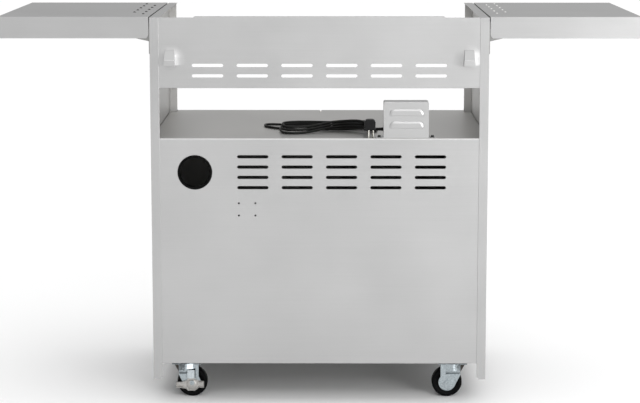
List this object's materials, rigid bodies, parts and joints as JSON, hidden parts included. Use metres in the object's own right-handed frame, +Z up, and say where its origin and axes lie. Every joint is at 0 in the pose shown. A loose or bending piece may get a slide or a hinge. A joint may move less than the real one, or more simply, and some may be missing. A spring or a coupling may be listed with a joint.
{
  "type": "grill cart",
  "caption": "Stainless steel cart for a built-in gas grill head, with double doors, folding side shelves, slotted rear panels, casters and a coiled mains cord.",
  "frame": {"origin": "centre of the bounding box at the floor, without the mains cord", "axes": "+Z up, -Y towards the rear panels that the picture shows, +Y towards the doors, +X to the right for someone who looks at the rear"},
  "size_m": [1.558, 0.662, 0.9625],
  "materials": {
    "stainless": "brushed stainless sheet",
    "bright_steel": "satin stainless bar",
    "zinc": "bright zinc plate",
    "nickel": "nickel plated brass",
    "wheel_rubber": "black rubber",
    "cord_jacket": "black cord jacket",
    "black_plastic": "moulded black plastic",
    "core_iron": "varnished laminations"
  },
  "bodies": {
    "cabinet": {"side_panel_left": "stainless", "side_panel_right": "stainless", "rear_upper_panel": "stainless", "rear_lower_panel": "stainless", "deck_panel": "stainless", "floor_panel": "stainless", "hook_left": "stainless", "hook_right": "stainless", "hose_grommet": "black_plastic", "magnetic_catch": "black_plastic", "hinge_top_left": "zinc", "hinge_bottom_left": "zinc", "hinge_top_right": "zinc", "hinge_bottom_right": "zinc", "shelf_bracket_left": "stainless", "shelf_bracket_right": "stainless", "transformer_cover": "stainless", "transformer_core": "core_iron", "strain_relief": "black_plastic", "cord_lead": "cord_jacket", "cord_hank": "cord_jacket", "cord_tail": "cord_jacket", "cord_plug": "black_plastic", "plug_blade_left": "nickel", "plug_blade_right": "nickel", "plug_earth_pin": "nickel", "caster_rear_left_plate": "zinc", "caster_rear_right_plate": "zinc", "caster_front_left_plate": "zinc", "caster_front_right_plate": "zinc"},
    "door_left": {"door_left_skin": "stainless", "door_left_liner": "stainless", "door_left_handle": "bright_steel", "strike_plate_left": "zinc"},
    "door_right": {"door_right_skin": "stainless", "door_right_liner": "stainless", "door_right_handle": "bright_steel", "strike_plate_right": "zinc"},
    "side_shelf_left": {"shelf_left": "stainless"},
    "side_shelf_right": {"shelf_right": "stainless"},
    "caster_rear_left_swivel": {"caster_rear_left_fork": "zinc", "caster_rear_left_axle": "zinc"},
    "caster_rear_left_roller": {"caster_rear_left_wheel": "wheel_rubber"},
    "caster_rear_left_brake": {"caster_rear_left_brake_lever": "zinc"},
    "caster_rear_right_swivel": {"caster_rear_right_fork": "zinc", "caster_rear_right_axle": "zinc"},
    "caster_rear_right_roller": {"caster_rear_right_wheel": "wheel_rubber"},
    "caster_front_left_swivel": {"caster_front_left_fork": "zinc", "caster_front_left_axle": "zinc"},
    "caster_front_left_roller": {"caster_front_left_wheel": "wheel_rubber"},
    "caster_front_right_swivel": {"caster_front_right_fork": "zinc", "caster_front_right_axle": "zinc"},
    "caster_front_right_roller": {"caster_front_right_wheel": "wheel_rubber"},
    "caster_front_right_brake": {"caster_front_right_brake_lever": "zinc"}
  },
  "joints": [
    {"name": "door_left_hinge", "type": "hinge", "parent": "cabinet", "child": "door_left", "pos_m": [-0.4025, 0.283, 0.3855], "axis": [0, 0, 1], "range_deg": [0, 110]},
    {"name": "door_right_hinge", "type": "hinge", "parent": "cabinet", "child": "door_right", "pos_m": [0.4025, 0.283, 0.3855], "axis": [0, 0, -1], "range_deg": [0, 110]},
    {"name": "shelf_left_fold", "type": "hinge", "parent": "cabinet", "child": "side_shelf_left", "pos_m": [-0.429, -0.0265, 0.922], "axis": [0, -1, 0], "range_deg": [0, 90]},
    {"name": "shelf_right_fold", "type": "hinge", "parent": "cabinet", "child": "side_shelf_right", "pos_m": [0.429, -0.0265, 0.922], "axis": [0, 1, 0], "range_deg": [0, 90]},
    {"name": "caster_rear_left_turn", "type": "hinge", "parent": "cabinet", "child": "caster_rear_left_swivel", "pos_m": [-0.35, -0.222, 0.0862], "axis": [0, 0, 1], "continuous": true},
    {"name": "caster_rear_left_roll", "type": "hinge", "parent": "caster_rear_left_swivel", "child": "caster_rear_left_roller", "pos_m": [-0.3206, -0.222, 0.038], "axis": [0, 1, 0], "continuous": true},
    {"name": "caster_rear_left_brake_rock", "type": "hinge", "parent": "caster_rear_left_swivel", "child": "caster_rear_left_brake", "pos_m": [-0.3206, -0.222, 0.038], "axis": [0, 1, 0], "range_deg": [0, 18]},
    {"name": "caster_rear_right_turn", "type": "hinge", "parent": "cabinet", "child": "caster_rear_right_swivel", "pos_m": [0.35, -0.222, 0.0862], "axis": [0, 0, 1], "continuous": true},
    {"name": "caster_rear_right_roll", "type": "hinge", "parent": "caster_rear_right_swivel", "child": "caster_rear_right_roller", "pos_m": [0.3206, -0.222, 0.038], "axis": [0, 1, 0], "continuous": true},
    {"name": "caster_front_left_turn", "type": "hinge", "parent": "cabinet", "child": "caster_front_left_swivel", "pos_m": [-0.35, 0.184, 0.0862], "axis": [0, 0, 1], "continuous": true},
    {"name": "caster_front_left_roll", "type": "hinge", "parent": "caster_front_left_swivel", "child": "caster_front_left_roller", "pos_m": [-0.3206, 0.184, 0.038], "axis": [0, 1, 0], "continuous": true},
    {"name": "caster_front_right_turn", "type": "hinge", "parent": "cabinet", "child": "caster_front_right_swivel", "pos_m": [0.35, 0.184, 0.0862], "axis": [0, 0, 1], "continuous": true},
    {"name": "caster_front_right_roll", "type": "hinge", "parent": "caster_front_right_swivel", "child": "caster_front_right_roller", "pos_m": [0.3206, 0.184, 0.038], "axis": [0, 1, 0], "continuous": true},
    {"name": "caster_front_right_brake_rock", "type": "hinge", "parent": "caster_front_right_swivel", "child": "caster_front_right_brake", "pos_m": [0.3206, 0.184, 0.038], "axis": [0, 1, 0], "range_deg": [0, 18]}
  ]
}
